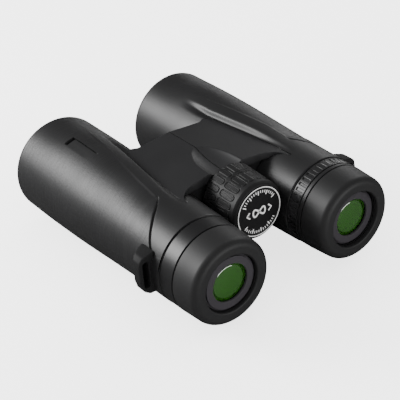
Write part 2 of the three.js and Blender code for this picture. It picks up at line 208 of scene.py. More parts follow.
def add_piece(name, points, faces, material, body, replaces, attributes=None, sharp=None):
    """Links a finished piece, gives it its material, tells the frame what it rides on, and hides the
    CAD parts it stands for."""
    mesh = mesh_from(name, points, faces, attributes)
    finish_shell(mesh, sharp)
    mesh.materials.append(material)
    piece = bpy.data.objects.new(name, mesh)
    bpy.context.scene.collection.objects.link(piece)
    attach(piece, body)
    if replaces:
        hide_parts(*replaces)
    print(f"{name}: {len(mesh.polygons)} faces, rides on {body}")


def smoothstep(low, high, value):
    """0 below low, 1 above high, and 3t^2 - 2t^3 between them."""
    t = np.clip((np.asarray(value, float) - low) / (high - low), 0, 1)
    return t * t * (3 - 2 * t)


def through(value, stations, values):
    """Cubic Hermite curve through (station, value) pairs, its slopes taken from neighbours. Beside
    a corner it can bulge past both values."""
    s, v = np.asarray(stations, float), np.asarray(values, float)
    slope = np.gradient(v, s)
    x = np.clip(value, s[0], s[-1])
    k = np.clip(np.searchsorted(s, x, side="right") - 1, 0, len(s) - 2)
    h = s[k + 1] - s[k]
    t = (x - s[k]) / h
    return ((1 + 2 * t) * (1 - t) ** 2 * v[k] + t * (1 - t) ** 2 * h * slope[k]
            + t * t * (3 - 2 * t) * v[k + 1] + t * t * (t - 1) * h * slope[k + 1])


# %% [markdown]
# Turned parts are drawn the way a lathe drawing is: a few corners, each with a fillet radius.
# The fillet is the arc that touches both sides; two holding points keep its shading off the flats.

# %% Fillets and turned shells
def filleted(corners, steps=6):
    """Closed outline of (a, b, radius) corners with each corner replaced by its tangent arc:
    the arc's centre lies on the bisector, radius / sin(half angle) from the corner."""
    out = []
    count = len(corners)
    for k, (a, b, radius) in enumerate(corners):
        corner = np.array([a, b])
        before = np.array(corners[k - 1][:2]) - corner
        after = np.array(corners[(k + 1) % count][:2]) - corner
        if radius <= 0:
            out.append(corner)
            continue
        u, w = before / np.linalg.norm(before), after / np.linalg.norm(after)
        half = math.acos(np.clip(u @ w, -1, 1)) / 2
        reach = min(radius / math.tan(half), 0.48 * np.linalg.norm(before), 0.48 * np.linalg.norm(after))
        radius = reach * math.tan(half)
        bisector = (u + w) / np.linalg.norm(u + w)
        centre = corner + bisector * radius / math.sin(half)
        start, end = corner + u * reach - centre, corner + w * reach - centre
        turn = math.atan2(start[0] * end[1] - start[1] * end[0], start @ end)
        angles = np.linspace(0, turn, steps + 1)
        arc = centre + np.outer(np.cos(angles), start) + np.outer(np.sin(angles), [-start[1], start[0]])
        hold = min(0.05, 0.03 * reach + 0.01)
        out.extend([corner + u * (reach + hold), *arc, corner + w * (reach + hold)])
    return np.array(out)


def revolve(profile, segments, centre=(0.0, 0.0), radial=None):
    """A closed (radius, station) profile turned about the axis through centre (x, z).
    radial(radius, station, angle) may return the radius at each angle, for ribs and knurls."""
    angle = np.linspace(0, 2 * math.pi, segments, endpoint=False)
    r = np.repeat(profile[:, :1], segments, 1)
    y = np.repeat(profile[:, 1:], segments, 1)
    if radial is not None:
        r = radial(r, y, angle[None, :])
    points = np.stack([centre[0] + r * np.sin(angle), y, centre[1] + r * np.cos(angle)], -1)
    return points.reshape(-1, 3), grid_faces(len(profile), segments, True, True)


def turned(name, corners, material, body, replaces, centre, segments=160, steps=6, radial=None,
           sharp=40):
    """A piece revolved from filleted corners."""
    points, faces = revolve(filleted(corners, steps), segments, centre, radial)
    add_piece(name, points, faces, material, body, replaces, sharp=sharp)


# %% [markdown]
# Node helpers for the finishes. One group makes the fine skin of every finish but the coated glass:
# a slight mottling of the colour, a roughness that wanders, and a height for the bump.

# %% Shader helpers
def socket(group, name, kind, is_input, default=None):
    """Adds one named socket to a node group's interface."""
    made = group.interface.new_socket(name=name, in_out="INPUT" if is_input else "OUTPUT",
                                      socket_type=kind)
    if default is not None:
        made.default_value = default
    return made


def wire(tree, source, target):
    """Joins an output socket to an input socket."""
    tree.links.new(source, target)


def maths(tree, operation, first, second=None, clamp=False):
    """A Math node on two values, each a number or a socket, and its result."""
    node = tree.nodes.new("ShaderNodeMath")
    node.operation = operation
    node.use_clamp = clamp
    for index, value in enumerate((first, second)):
        if value is None:
            continue
        if isinstance(value, (int, float)):
            node.inputs[index].default_value = value
        else:
            wire(tree, value, node.inputs[index])
    return node.outputs[0]


def noise(tree, vector, scale, detail=4.0, roughness=0.55):
    """A noise texture on a vector, and its factor."""
    node = tree.nodes.new("ShaderNodeTexNoise")
    node.inputs["Detail"].default_value = detail
    node.inputs["Roughness"].default_value = roughness
    if isinstance(scale, (int, float)):
        node.inputs["Scale"].default_value = scale
    else:
        wire(tree, scale, node.inputs["Scale"])
    wire(tree, vector, node.inputs["Vector"])
    return node.outputs["Fac"]


def build_skin_group():
    """Moulded skin: colour = base mottled by a broad noise and flecked with pale dust,
    roughness = middle plus spread times a wandering noise, height = fine grain."""
    group = bpy.data.node_groups.new("moulded_skin", "ShaderNodeTree")
    socket(group, "Base", "NodeSocketColor", True, (0.02, 0.02, 0.02, 1))
    socket(group, "Grain Scale", "NodeSocketFloat", True, 3000.0)
    socket(group, "Mottle", "NodeSocketFloat", True, 0.25)
    socket(group, "Dust", "NodeSocketFloat", True, 0.04)
    socket(group, "Roughness", "NodeSocketFloat", True, 0.5)
    socket(group, "Spread", "NodeSocketFloat", True, 0.15)
    socket(group, "Color", "NodeSocketColor", False)
    socket(group, "Roughness", "NodeSocketFloat", False)
    socket(group, "Height", "NodeSocketFloat", False)
    entry = group.nodes.new("NodeGroupInput")
    leave = group.nodes.new("NodeGroupOutput")
    place = group.nodes.new("ShaderNodeTexCoord").outputs["Object"]
    grain = noise(group, place, entry.outputs["Grain Scale"], 3.0, 0.6)
    broad = noise(group, place, 55.0, 3.0, 0.5)
    fleck = noise(group, place, 1400.0, 2.0, 0.7)
    swing = maths(group, "MULTIPLY", maths(group, "SUBTRACT", broad, 0.5), entry.outputs["Mottle"])
    gain = maths(group, "ADD", 1.0, swing)
    tint = group.nodes.new("ShaderNodeVectorMath")
    tint.operation = "SCALE"
    wire(group, entry.outputs["Base"], tint.inputs[0])
    wire(group, gain, tint.inputs["Scale"])
    pale = maths(group, "MULTIPLY", maths(group, "SUBTRACT", fleck, 0.62, True), 2.5, True)
    dusty = group.nodes.new("ShaderNodeMix")
    dusty.data_type = "RGBA"
    wire(group, maths(group, "MULTIPLY", pale, entry.outputs["Dust"]), dusty.inputs["Factor"])
    wire(group, tint.outputs["Vector"], dusty.inputs["A"])
    dusty.inputs["B"].default_value = (0.35, 0.34, 0.32, 1)
    wander = maths(group, "MULTIPLY", maths(group, "SUBTRACT", broad, 0.5), entry.outputs["Spread"])
    rough = maths(group, "ADD", entry.outputs["Roughness"], wander, True)
    wire(group, dusty.outputs["Result"], leave.inputs["Color"])
    wire(group, rough, leave.inputs["Roughness"])
    wire(group, grain, leave.inputs["Height"])
    return group


SKIN_GROUP = build_skin_group()


def moulded(name, base, roughness, grain_scale=3000.0, grain_depth=0.00002, mottle=0.25, dust=0.04,
            spread=0.12, metallic=0.0, coat=0.0, coat_roughness=0.1, specular=0.5, extra_height=None,
            painted_light_mask=None):
    """A finish with the fine skin: the skin group feeds colour, roughness and a bump. Where the mesh
    attribute named by the last argument is 1 the colour is paler: painted light for the finger scoop."""
    material = bpy.data.materials.new(name)
    material.use_nodes = True
    tree = material.node_tree
    shader = tree.nodes["Principled BSDF"]
    skin = tree.nodes.new("ShaderNodeGroup")
    skin.node_tree = SKIN_GROUP
    skin.inputs["Base"].default_value = (*base, 1)
    skin.inputs["Grain Scale"].default_value = grain_scale
    skin.inputs["Mottle"].default_value = mottle
    skin.inputs["Dust"].default_value = dust
    skin.inputs["Roughness"].default_value = roughness
    skin.inputs["Spread"].default_value = spread
    shader.inputs["Metallic"].default_value = metallic
    shader.inputs["Coat Weight"].default_value = coat
    shader.inputs["Coat Roughness"].default_value = coat_roughness
    shader.inputs["Specular IOR Level"].default_value = specular
    bump = tree.nodes.new("ShaderNodeBump")
    bump.inputs["Strength"].default_value = 1.0
    bump.inputs["Distance"].default_value = grain_depth
    height = skin.outputs["Height"]
    if extra_height is not None:
        height = maths(tree, "ADD", height, extra_height(tree))
    colour = skin.outputs["Color"]
    if painted_light_mask:
        mask = tree.nodes.new("ShaderNodeAttribute")
        mask.attribute_name = painted_light_mask
        paler = tree.nodes.new("ShaderNodeMix")
        paler.data_type = "RGBA"
        wire(tree, mask.outputs["Fac"], paler.inputs["Factor"])
        wire(tree, colour, paler.inputs["A"])
        # Painted light: the paler colour the finger scoop gets instead of the light it catches.
        paler.inputs["B"].default_value = (0.016, 0.016, 0.017, 1)
        colour = paler.outputs["Result"]
    wire(tree, colour, shader.inputs["Base Color"])
    wire(tree, skin.outputs["Roughness"], shader.inputs["Roughness"])
    wire(tree, height, bump.inputs["Height"])
    wire(tree, bump.outputs["Normal"], shader.inputs["Normal"])
    return material


# %% [markdown]
# The finishes. The armour has smooth soft-touch rubber over the bridge side and a finely ribbed
# grip panel outboard: the ribs are a wave along the barrel, broken up by noise, that shows only
# where the mesh attribute "grip" says.

# %% Finishes
def grip_ribs(tree):
    """Height of the grip panel: fine ribs across the barrel, about 0.9 mm apart, times the mesh
    attribute grip."""
    place = tree.nodes.new("ShaderNodeTexCoord").outputs["Object"]
    split = tree.nodes.new("ShaderNodeSeparateXYZ")
    wire(tree, place, split.inputs[0])
    stretch = tree.nodes.new("ShaderNodeMapping")
    stretch.inputs["Scale"].default_value = (90, 900, 90)
    wire(tree, place, stretch.inputs["Vector"])
    scratch = noise(tree, stretch.outputs["Vector"], 1.0, 3.0, 0.6)
    wave = maths(tree, "SINE", maths(tree, "MULTIPLY", split.outputs["Y"], 2 * math.pi / (0.9 * MM)))
    mask = tree.nodes.new("ShaderNodeAttribute")
    mask.attribute_name = "grip"
    ribs = maths(tree, "ADD", maths(tree, "MULTIPLY", wave, 0.5), maths(tree, "MULTIPLY", scratch, 5.0))
    return maths(tree, "MULTIPLY", ribs, mask.outputs["Fac"])


ARMOUR = moulded("armour_rubber", (0.012, 0.012, 0.0125), 0.44, 2600, 0.00002, spread=0.10,
                 extra_height=grip_ribs)
# The bridge finish paints its finger scoop paler: painted light.
BRIDGE = moulded("bridge_rubber", (0.013, 0.013, 0.014), 0.50, 2600, 0.00002, painted_light_mask="scoop")
CUP = moulded("eyecup_rubber", (0.012, 0.012, 0.0125), 0.52, 3200, 0.000015)
KNOB = moulded("knob_rubber", (0.009, 0.009, 0.0095), 0.55, 3200, 0.00002, specular=0.4)
DIOPTRE = moulded("dioptre_rubber", (0.012, 0.012, 0.0125), 0.36, 3200, 0.00001)
CASING = moulded("casing_plastic", (0.010, 0.010, 0.0105), 0.45, 4200, 0.000015)
LUG = moulded("lug_plastic", (0.011, 0.011, 0.0115), 0.62, 4200, 0.000015, specular=0.2)
GLOSSY = moulded("gloss_ring", (0.008, 0.008, 0.0085), 0.38, 900, 0.000004, mottle=0.1, dust=0.02,
                 spread=0.06)
EYEPIECE = moulded("eyepiece_plastic", (0.030, 0.027, 0.032), 0.45, 4200, 0.00001)
PLATE = moulded("knob_plate", (0.007, 0.007, 0.0075), 0.42, 3000, 0.00002)
CELL = moulded("cell_alloy", (0.05, 0.05, 0.052), 0.38, 2500, 0.00001, metallic=0.7)
BUSH = moulded("bush_alloy", (0.08, 0.08, 0.083), 0.34, 2500, 0.00001, metallic=0.8)
STEEL = moulded("hinge_steel", (0.50, 0.50, 0.51), 0.30, 1600, 0.000008, mottle=0.12, metallic=1.0)
BRASS = moulded("thread_brass", (0.62, 0.45, 0.19), 0.32, 1600, 0.000008, mottle=0.15, metallic=1.0)
PRINT = moulded("white_print", (0.80, 0.80, 0.79), 0.45, 2600, 0.000006, mottle=0.06, dust=0.0)


def coated_glass(name, tint, edge):
    """Coated lens: a dark green body under a clear coat, with painted shade: the green is darker
    where the face turns away from the eye."""
    material = bpy.data.materials.new(name)
    material.use_nodes = True
    tree = material.node_tree
    shader = tree.nodes["Principled BSDF"]
    shader.inputs["Roughness"].default_value = 0.03
    shader.inputs["IOR"].default_value = 2.0
    shader.inputs["Coat Weight"].default_value = 1.0
    shader.inputs["Coat Roughness"].default_value = 0.02
    shader.inputs["Coat IOR"].default_value = 2.0
    place = tree.nodes.new("ShaderNodeTexCoord").outputs["Object"]
    cloud = noise(tree, place, 90.0, 2.0, 0.5)
    # The facing weight drives the painted shade: near 0 where the face looks at the eye, towards 1 at the
    # rim.
    facing = tree.nodes.new("ShaderNodeLayerWeight")
    facing.inputs["Blend"].default_value = 0.35
    blend = tree.nodes.new("ShaderNodeMix")
    blend.data_type = "RGBA"
    lift = maths(tree, "ADD", facing.outputs["Facing"], maths(tree, "MULTIPLY", cloud, 0.12), True)
    wire(tree, lift, blend.inputs["Factor"])
    blend.inputs["A"].default_value = (*tint, 1)
    blend.inputs["B"].default_value = (*edge, 1)
    wire(tree, blend.outputs["Result"], shader.inputs["Base Color"])
    return material


# The second colour is the painted shade, the darker green where the face turns away.
COATED = coated_glass("coated_glass", (0.020, 0.082, 0.007), (0.004, 0.036, 0.001))
CLEAR = moulded("clear_glass", (0.05, 0.09, 0.06), 0.05, 1200, 0.0, mottle=0.05, dust=0.0, spread=0.0,
                coat=0.6, coat_roughness=0.03)
print("materials:", len(bpy.data.materials))

# %% [markdown]
# The armour is one rubber sleeve per barrel. Its radius is a function of the station along the
# barrel and the angle round it, counted from the top and positive outboard. Columns of the grid
# follow the two feature lines, so that the panel edge and the crease at the bridge stay crisp.

# %% Armour lines
RUBBER_THICK = 2.2
ARMOUR_REAR = 24.4
RIM_START = 146.8
RIM_FLAT = 22.2
LIP_RADIUS = 20.9
CASTING_FRONT = 147.2
DECK_UNDER = 19.3
DECK_TOP = 24.6
DECK_FALL = 0.085
DECK_REAR, DECK_FRONT = 49.8, 96.7
FRONT_FLARE = 2.2
TAIL_REAR, TAIL_FRONT = 39.0, 48.9
TAIL_INNER, TAIL_SPAN = 19.0, 12.0
KNOB_RELIEF = 17.1
CREASE_Y = (39, 50, 55, 65, 75, 85, 95, 99)
CREASE_X = (31.7, 31.7, 31.3, 30.3, 29.3, 28.0, 26.9, 26.4)
PANEL_Y = (24, 33, 35, 38, 40, 42, 45, 47, 50, 54, 58, 65, 75, 85, 95, 105, 115, 125, 141, 150)
PANEL_DEG = (60, 60, 54, 43, 35, 28, 18, 13, 6, 5, 4, 3, 0, -3, -6, -9, -11, -14, -19, -21)
PANEL_LOW_DEG = 148
PAD_Y = (98.9, 122.9)
PAD_DEG = (6.5, 20.5)
PAD_SLOT, PAD_WALL = 2.7, 0.3


def skin_radius(y):
    """Barrel radius without details: a slim waist at the eyepiece and the full size in front."""
    return through(y, (24, 40, 62, 105, 146, 151), (22.65, 23.1, 24.1, 26.2, 26.6, 26.6))


def crease_x(y):
    """Distance from the centre plane of the line where the bridge cover meets the armour."""
    return through(y, CREASE_Y, CREASE_X)


def panel_line(y):
    """Angle of the grip panel's upper edge."""
    return np.radians(through(y, PANEL_Y, PANEL_DEG))


def deck_height(x):
    """Height of the bridge's top surface at a distance from the centre seam."""
    return DECK_TOP - DECK_FALL * x


def tail_inner_x(y):
    """Inner edge of the bridge's tail: a concave sweep from the knob out to the tip, 31 mm out at
    the tip and 19 mm where it joins the rear edge."""
    t = np.clip((y - TAIL_REAR) / (TAIL_FRONT - TAIL_REAR), 0, 1)
    return TAIL_INNER + TAIL_SPAN - TAIL_SPAN * (1 - np.sqrt(np.clip(1 - t * t, 0, 1)))


def deck_front(x):
    """Front edge of the bridge: straight near the seam and flared forward towards the barrels."""
    return DECK_FRONT + FRONT_FLARE * smoothstep(22, 28, x)


def deck_radius(angle):
    """Distance from the barrel axis to the bridge's top plane along an angle: the plane's height
    at the axis divided by the cosine plus the fall times the sine."""
    share = np.cos(angle) + DECK_FALL * np.sin(angle)
    return (DECK_TOP - DECK_FALL * BARREL_X) / np.clip(share, 0.5, None)


def crease_angle(y):
    """Angle of the crease between bridge and armour."""
    return np.arctan2(crease_x(y) - BARREL_X, deck_height(crease_x(y)))


def relief_radius(angle):
    """Largest radius that stays clear of the focus knob: the near crossing of the ray at this
    angle with the relief cylinder round the hinge axis, or no limit where it misses."""
    towards = -BARREL_X * np.sin(angle) + HINGE_Z * np.cos(angle)
    under = towards ** 2 - (BARREL_X ** 2 + HINGE_Z ** 2 - KNOB_RELIEF ** 2)
    hit = (under > 0) & (towards > 0)
    return np.where(hit, towards - np.sqrt(np.where(hit, under, 0)), 99.0)


def soft_min(a, b, width):
    """The smaller of two lengths, rounded off over the given width where they cross."""
    share = np.clip(0.5 + 0.5 * (b - a) / width, 0, 1)
    return b + (a - b) * share - width * share * (1 - share) / 2


# %% [markdown]
# The details are added to the plain radius one at a time: the shoulder along the top, the step at
# the panel edge, the groove that turns down to the strap lug, the relief beside the knob, and the
# sunk places that hold the bridge cover and the web. The left barrel also has a shallow pocket on
# top, with a deep slot across its far end and a slit along its inboard side.

# %% Armour surface
def armour_radius(y, angle, with_pad):
    """Radius of the armour at stations y and angles, and the grip mask that the finish reads."""
    radius = skin_radius(y)
    along = smoothstep(46, 68, y) - smoothstep(112, 140, y)
    radius = radius + 1.2 * along * np.exp(-(angle / 0.5) ** 2)
    edge = panel_line(y)
    slope = np.gradient(edge[:, 0], y[:, 0])[:, None] * radius
    across = (angle - edge) * radius / np.sqrt(1 + slope ** 2)
    low_edge = (math.radians(PANEL_LOW_DEG) - angle) * radius
    in_panel = smoothstep(0.05, 1.5, across) * smoothstep(-0.3, 0.5, low_edge)
    in_panel = in_panel * (1 - smoothstep(145.5, 146.5, y))
    step = 0.3 * (1 - 0.8 * smoothstep(105, 135, y))
    in_front = smoothstep(49, 53, y)
    bead = 0.035 * np.exp(-(across / 0.35) ** 2) * in_front * (1 - smoothstep(136, 144, y))
    groove = 0.85 * np.exp(-(across / 0.5) ** 4) * (1 - smoothstep(46, 52.5, y)) * smoothstep(29, 31, y)
    radius = radius + bead - step * in_front * in_panel - groove
    down = (angle - crease_angle(y)) * radius
    beside = smoothstep(TAIL_REAR - 1, 46, y) * (1 - smoothstep(DECK_FRONT + 1, 122, y))
    beside = beside * (np.abs(angle) < 1.0)
    blend = (1 - smoothstep(0, 3.6, down)) * beside
    radius = radius + (np.minimum(deck_radius(angle) + 0.12, radius) - radius) * blend
    if with_pad:
        inboard, outboard = np.radians(PAD_DEG)
        wall, slit_end, taper = np.radians([0.06, 0.7, 6.0])
        inside = smoothstep(inboard, inboard + wall, angle)
        far_end = 1 - smoothstep(PAD_Y[1] - PAD_WALL, PAD_Y[1], y)
        pad = (smoothstep(PAD_Y[0], PAD_Y[0] + 9, y) * far_end * inside
               * (1 - smoothstep(outboard - taper, outboard, angle)))
        slot = smoothstep(PAD_Y[1] - PAD_SLOT, PAD_Y[1] - 2.4, y) * far_end * (pad > 0.3)
        slit = (inside * (1 - smoothstep(inboard + slit_end, inboard + 1.4 * slit_end, angle)) * far_end
                * smoothstep(PAD_Y[0], PAD_Y[0] + 5, y))
        radius = radius - 0.15 * pad - 1.35 * np.maximum(slot, 0.6 * slit)
        in_panel = in_panel * (1 - pad)
    relief = soft_min(radius, relief_radius(angle), 0.5)
    radius = np.where(y < 50.6, relief, radius)
    return sink_pocket(radius, y, angle), in_panel


def sink_pocket(radius, y, angle):
    """Lowers the armour to just over the casting where the bridge cover and the web cross it."""
    inner = skin_radius(y) - RUBBER_THICK + 0.12
    x = BARREL_X + radius * np.sin(angle)
    z = radius * np.cos(angle)
    width = 0.2
    under_deck = (smoothstep(0, width, crease_x(y) + width - x)
                  * smoothstep(0, width, deck_front(x) + width - y)
                  * smoothstep(0, width, y - TAIL_REAR + width) * (z > 0))
    in_tail = smoothstep(0, width, x - tail_inner_x(y) + width)
    under_deck = under_deck * np.where(y < 49.2, in_tail, 1.0)
    under_deck = under_deck * (1 - smoothstep(95.0, 95.6, y) * smoothstep(24.6, 25.0, x))
    floor_radius = (DECK_UNDER - 0.25) / np.clip(np.cos(angle), 0.2, 1)
    deck_floor = np.minimum(np.maximum(floor_radius, inner), radius)
    radius = radius + (deck_floor - radius) * under_deck
    web = (smoothstep(0, width, y - 50.1) * smoothstep(0, width, 97.4 - y)
           * smoothstep(-0.6, 0.0, 19.0 - z) * smoothstep(-0.2, 0.2, z + 2.75)
           * smoothstep(math.radians(-120), math.radians(-118), angle) * (angle < 0))
    return radius + (inner - radius) * web


def stations_with(extra, start, end, pitch):
    """Evenly spaced stations with a few added ones, sorted, for crisp edges where they matter."""
    even = np.linspace(start, end, int(round((end - start) / pitch)) + 1)
    return np.unique(np.concatenate([even, extra]))


def armour_columns(y):
    """Angle of each column at each station. The columns are evenly spread and then bunched beside
    six lines: each row maps the lines' even angles linearly onto where the lines really run."""
    even = np.array([-180, -120, -22.5, 5, 18, 30, 60, 180])
    edge = panel_line(y)
    pad_in, pad_out = np.radians(PAD_DEG)
    lines = np.stack([np.full_like(y, -math.pi), np.full_like(y, math.radians(-120)), crease_angle(y), edge,
                      np.maximum(pad_in, edge + 0.1), np.maximum(pad_out, edge + 0.2),
                      np.maximum(math.radians(60), edge + 0.35), np.full_like(y, math.pi)], 1)
    near = np.array([0.12, 0.3, 0.5, 0.75, 1.05, 1.4, 1.8, 2.3, 3.0, 4.0])
    bunched = [line + way * near for line in (-22.5, 5) for way in (-1, 1)]
    bunched += [line + way * np.array([0.06, 0.3, 0.6, 1.0]) for line in (18, 30) for way in (-1, 1)]
    base = np.unique(np.round(np.concatenate([np.arange(-180, 180, 1.8), even[:-1], *bunched]), 3))
    return np.stack([np.interp(base, even, row) for row in lines])


def armour_points(mirror, with_pad):
    """The sleeve as a grid closed both ways: outer skin, quarter-ellipse rim, lip and inner wall."""
    edges = (TAIL_REAR - 0.2, 50.1, DECK_FRONT, DECK_FRONT + FRONT_FLARE, PAD_Y[1] - PAD_SLOT,
             PAD_Y[1] - PAD_WALL)
    crisp = [y + d for y in edges for d in (-0.05, 0.0, 0.1, 0.2, 0.3, 0.35)]
    y_outer = stations_with(crisp, ARMOUR_REAR + 0.5, RIM_START, 0.5)
    angle = armour_columns(y_outer)
    base = angle[0]
    y = np.repeat(y_outer[:, None], len(base), 1)
    radius, grip = armour_radius(y, angle, with_pad)
    turn = np.linspace(0, math.pi / 2, 13)[1:]
    rim_r = RIM_FLAT + (radius[-1:] - RIM_FLAT) * np.cos(turn)[:, None]
    rim_y = RIM_START + (LENGTH - RIM_START) * np.sin(turn)[:, None]
    inner = [(LIP_RADIUS + 0.35, LENGTH), (LIP_RADIUS + 0.1, LENGTH - 0.1), (LIP_RADIUS, LENGTH - 0.35),
             (LIP_RADIUS, CASTING_FRONT + 0.4), (24.4, CASTING_FRONT + 0.3)]
    back = [(skin_radius(v) - RUBBER_THICK, v) for v in np.linspace(146, ARMOUR_REAR + 0.5, 12)]
    rear = [(20.5, ARMOUR_REAR), (22.0, ARMOUR_REAR), (22.35, ARMOUR_REAR + 0.15)]
    rest = np.array(inner + back + rear, float)
    ones = np.ones((1, len(base)))
    radius = np.vstack([radius, rim_r, rest[:, :1] * ones])
    y = np.vstack([y, rim_y * ones, rest[:, 1:] * ones])
    angle = np.vstack([angle, np.repeat(angle[-1:], len(turn) + len(rest), 0)])
    grip = np.vstack([grip, np.zeros((len(turn) + len(rest), len(base)))])
    x = mirror * (BARREL_X + radius * np.sin(angle))
    points = np.stack([x, y, radius * np.cos(angle)], -1)
    return points.reshape(-1, 3), grid_faces(*radius.shape, True, True), grip.ravel()


for side, mirror in (("left", -1), ("right", 1)):
    points, faces, grip = armour_points(mirror, side == "left")
    add_piece(f"{side}_armour_skin", points, faces, ARMOUR, f"{side}_half", [f"{side}_armour"],
              {"grip": grip}, sharp=62)
    print(side, "armour faces:", len(faces))

# %% [markdown]
# The bridge cover is two mirrored halves that meet at a seam over the hinge. Each is a closed
# slab: the plan is a grid whose columns run from the seam to the crease, the top falls gently
# outward and dips into the finger scoop in front of the knob, and all edges are rounded.

# %% Bridge covers
SCOOP_CENTRE = 52.0
SCOOP_SEMI = (13.2, 27.6, 10.0)
SCOOP_RISE = 5.9
SEAM = 0.22


def scoop_depth(x, y):
    """How far the ellipsoid over the seam cuts below the deck: centre height minus the lower
    half of the ellipsoid, where it dips under the deck."""
    inside = 1 - (x / SCOOP_SEMI[0]) ** 2 - ((y - SCOOP_CENTRE) / SCOOP_SEMI[1]) ** 2
    bottom = DECK_TOP + SCOOP_RISE - SCOOP_SEMI[2] * np.sqrt(np.clip(inside, 0, 1))
    return np.clip(deck_height(x) - bottom, 0, None)


def edge_drop(distance, radius):
    """Drop of a rounded edge at a distance inside the border: a quarter circle of that radius."""
    inside = np.clip(distance, 0, radius)
    return radius - np.sqrt(np.clip(radius ** 2 - (radius - inside) ** 2, 0, None))


def cosine_spaced(count, inset, length):
    """Parameters from 0 to 1 with close rows inside the rounded borders."""
    border = inset / length * (1 - np.cos(np.linspace(0, math.pi / 2, 6)))
    middle = np.linspace(border[-1], 1 - border[-1], count)
    return np.concatenate([border[:-1], middle, 1 - border[-2::-1]])


def bridge_points(mirror):
    """Top and bottom sheets of one cover, joined round the border into a closed slab."""
    u = cosine_spaced(70, 0.5, 30)[:, None]
    v = cosine_spaced(110, 0.7, 48)[None, :]
    reach = u * (CREASE_X[0] - SEAM) + SEAM
    sweep = np.clip((reach - TAIL_INNER) / TAIL_SPAN, 0, 1)
    rear = (DECK_REAR - 0.9 * smoothstep(8, TAIL_INNER, reach)
            - (TAIL_FRONT - TAIL_REAR) * (1 - np.sqrt(np.clip(1 - sweep ** 2, 0, 1))))
    front = deck_front(reach)
    y = rear + v * (front - rear)
    width = crease_x(y) - SEAM
    x = SEAM + u * width
    ends = edge_drop(np.minimum(v, 1 - v) * (front - rear), 0.4)
    sides = edge_drop((1 - u) * width, 0.15)
    top = deck_height(x) - scoop_depth(x, y) - np.maximum(ends, sides)
    tube = skin_radius(y) - RUBBER_THICK - 0.1
    bulge = np.sqrt(np.clip(tube ** 2 - (x - BARREL_X) ** 2, 0, None))
    bottom = np.minimum(np.maximum(DECK_UNDER, bulge + 0.2), top - 0.25)
    rows, cols = x.shape
    # The scoop mask marks where the bridge finish paints the finger scoop paler: painted light.
    scoop = np.clip(scoop_depth(x, y) / 0.1, 0, 1)
    upper = np.stack([mirror * x, y, top], -1).reshape(-1, 3)
    lower = np.stack([mirror * x, y, bottom], -1).reshape(-1, 3)
    sheet = grid_faces(rows, cols, False, False)
    index = np.arange(rows * cols).reshape(rows, cols)
    border = np.concatenate([index[0, :-1], index[:-1, -1], index[-1, :0:-1], index[:0:-1, 0]])
    ahead = np.roll(border, -1)
    wall = np.stack([border, ahead, ahead + rows * cols, border + rows * cols], 1)
    faces = np.concatenate([sheet, sheet[:, ::-1] + rows * cols, wall])
    return np.concatenate([upper, lower]), faces, np.concatenate([scoop.ravel(), np.zeros(rows * cols)])


for side, mirror in (("left", -1), ("right", 1)):
    points, faces, scoop = bridge_points(mirror)
    add_piece(f"{side}_bridge_half", points, faces, BRIDGE, f"{side}_half", [f"{side}_bridge_cover"],
              {"scoop": scoop}, sharp=50)

# %% [markdown]
# Under the bridge each casting reaches to the hinge with a web that ends in two knuckles. The
# section across the hinge is carried along the barrel: where the half owns the knuckle its end
# is a full round, elsewhere it is a hollow that clears the other half's knuckle.

# %% Webs and knuckles
KNUCKLE_R = 9.5
KNUCKLE_CLEAR = 10.0
WEB_ENDS = (50.5, 97.0)
KNUCKLES = {"left": ((50.5, 55.6), (88.9, 97.0)), "right": ((56.8, 62.0), (80.0, 87.6))}


def web_section(own):
    """One x-z section in the barrel's outboard frame, always with the same number of points:
    the barrel end, the underside, the hinge end as an arc, and the top."""
    if own:
        radius, sweep = KNUCKLE_R, np.radians(np.linspace(300, 90, 40))
    else:
        radius, sweep = KNUCKLE_CLEAR, np.radians(np.linspace(-56, 70, 40))
    arc = np.stack([-BARREL_X + radius * np.cos(sweep), HINGE_Z + radius * np.sin(sweep)], 1)
    under = np.linspace((-17.5, -2.6), arc[0], 8)[:-1]
    top = np.linspace(arc[-1], (-9.0, 18.9), 10)[1:]
    return np.concatenate([[(-4.0, 10.0), (-4.0, -3.0)], under, arc, top])


def web_points(side, mirror):
    """Sections placed along the barrel and closed by flat ends. The first and last section of each
    stretch are shrunk by a fiftieth, and the full size starts 0.4 mm further in: a small chamfer."""
    cuts = sorted({WEB_ENDS[0], WEB_ENDS[1], *[y for pair in KNUCKLES[side] for y in pair]})
    rows = []
    for start, end in zip(cuts[:-1], cuts[1:]):
        own = any(abs(start - a) < 0.01 and abs(end - b) < 0.01 for a, b in KNUCKLES[side])
        section = web_section(own)
        small = section + (section.mean(0) - section) * 0.02
        rows += [(small, start), (section, start + 0.4), (section, end - 0.4), (small, end)]
    middle = rows[0][0].mean(0)
    rows = [(np.repeat(middle[None], len(rows[0][0]), 0), rows[0][1]), *rows]
    rows.append((np.repeat(middle[None], len(rows[0][0]), 0), rows[-1][1]))
    grid = np.array([[(mirror * (BARREL_X + a), y, b) for a, b in section] for section, y in rows])
    return grid.reshape(-1, 3), grid_faces(grid.shape[0], grid.shape[1], False, True)


for side, mirror in (("left", -1), ("right", 1)):
    points, faces = web_points(side, mirror)
    add_piece(f"{side}_hinge_web", points, faces, CASING, f"{side}_half", [f"{side}_body_casting"],
              sharp=35)
    tube = [(18.4, ARMOUR_REAR, 0.1), (20.2, ARMOUR_REAR, 0.2), (20.7, 40, 0), (21.6, 62, 0),
            (23.6, 105, 0), (24.1, 146, 0), (24.1, CASTING_FRONT, 0.3), (21.6, CASTING_FRONT, 0.2),
            (21.6, 132.6, 0), (20.0, 132.6, 0.1), (20.0, 130.8, 0.1), (21.2, 105, 0), (19.6, 62, 0),
            (18.6, 36, 0)]
    turned(f"{side}_objective_tube", tube, CASING, f"{side}_half", [],
           (mirror * BARREL_X, 0), 120)

